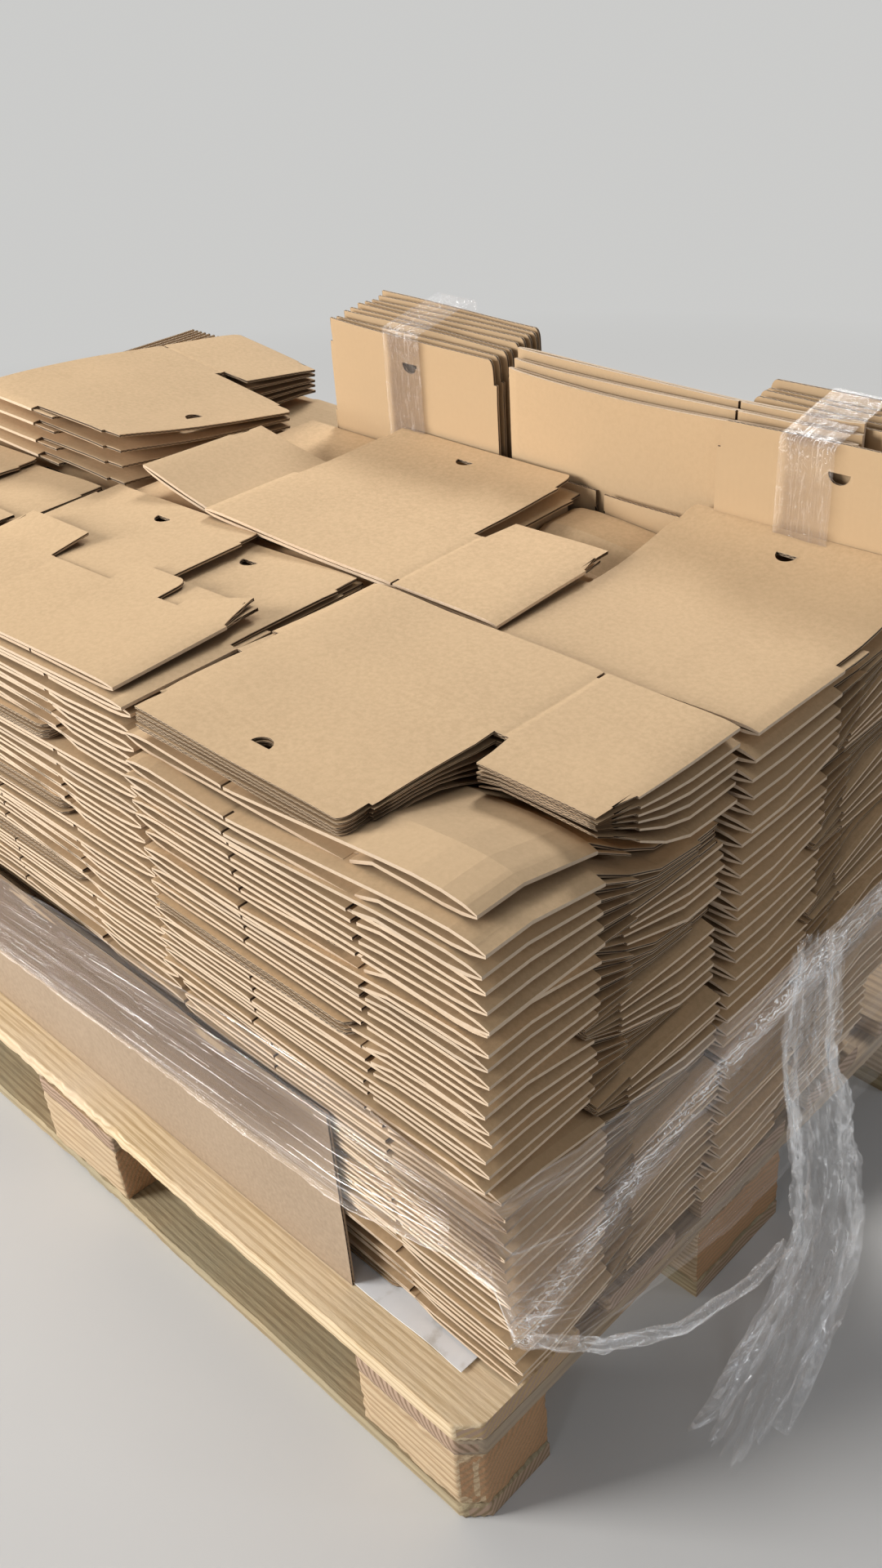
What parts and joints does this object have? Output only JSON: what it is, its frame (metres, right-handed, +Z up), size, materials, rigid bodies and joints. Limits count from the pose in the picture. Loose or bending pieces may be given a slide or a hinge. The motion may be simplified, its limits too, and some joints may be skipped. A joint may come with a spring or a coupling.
{
  "type": "wrapped pallet load of flat cartons",
  "caption": "Flat folded cartons stacked flat and on edge on a wooden four-way pallet, held by a band of clear stretch film with a loose crumpled end.",
  "frame": {"origin": "middle of the pallet's underside, on the floor", "axes": "+X along the pallet's long side, +Y across it to the back, +Z up"},
  "size_m": [1.3718, 0.8, 0.8288],
  "materials": {
    "pallet_wood": "matte",
    "carton_board": "matte",
    "brown_board": "matte",
    "white_sheet": "satin",
    "clear_tape": "gloss",
    "stretch_film": "gloss"
  },
  "bodies": {
    "root": {"block_1": "pallet_wood", "block_2": "pallet_wood", "block_3": "pallet_wood", "block_4": "pallet_wood", "block_5": "pallet_wood", "block_6": "pallet_wood", "block_7": "pallet_wood", "block_8": "pallet_wood", "block_9": "pallet_wood", "bottom_board_1": "pallet_wood", "bottom_board_2": "pallet_wood", "bottom_board_3": "pallet_wood", "cross_board_1": "pallet_wood", "cross_board_2": "pallet_wood", "cross_board_3": "pallet_wood", "deck_board_1": "pallet_wood", "deck_board_2": "pallet_wood", "deck_board_3": "pallet_wood", "deck_board_4": "pallet_wood", "deck_board_5": "pallet_wood", "end_lower_bundle": "carton_board", "end_upper_bundle": "carton_board", "fanned_cartons": "carton_board", "film_rope": "stretch_film", "front_left_loose_cartons": "carton_board", "front_left_stack": "carton_board", "front_middle_loose_cartons": "carton_board", "front_middle_stack": "carton_board", "front_right_loose_cartons": "carton_board", "front_right_stack": "carton_board", "loose_film": "stretch_film", "middle_loose_carton_lower": "carton_board", "middle_loose_carton_upper": "carton_board", "middle_stack": "carton_board", "rear_left_bundle": "carton_board", "rear_left_stack": "carton_board", "rear_lower_bundle_1": "carton_board", "rear_lower_bundle_2": "carton_board", "rear_lower_bundle_3": "carton_board", "rear_middle_bundle": "carton_board", "rear_right_bundle": "carton_board", "rear_right_loose_carton": "carton_board", "rear_right_stack": "carton_board", "side_panel": "brown_board", "slip_sheet": "white_sheet", "stretch_film": "stretch_film", "tape_1": "clear_tape", "tape_2": "clear_tape"}
  },
  "joints": []
}
